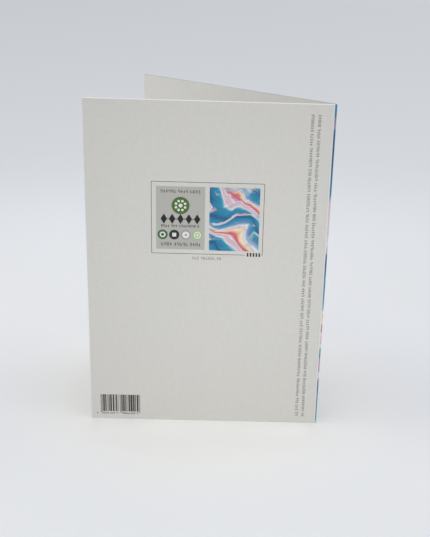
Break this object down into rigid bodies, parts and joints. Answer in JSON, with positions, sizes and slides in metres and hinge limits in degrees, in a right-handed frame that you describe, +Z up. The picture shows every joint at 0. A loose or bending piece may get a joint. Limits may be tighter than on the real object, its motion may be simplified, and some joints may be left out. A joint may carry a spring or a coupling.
{
  "type": "greeting card",
  "caption": "Folded greeting card of stiff recycled card, scored along its fold, which stands half open on its lower edge.",
  "frame": {"origin": "on the surface the card stands on, under the middle of its bounding box", "axes": "+Z up along the fold; the back panel lies along X with its printed outer side towards -Y; the fold is at +X, and the front panel opens behind it towards +Y"},
  "size_m": [0.104, 0.0623, 0.148],
  "materials": {
    "card": "matt uncoated recycled card, printed on its outer side"
  },
  "bodies": {
    "root": {"folded_card": "card"}
  },
  "joints": []
}
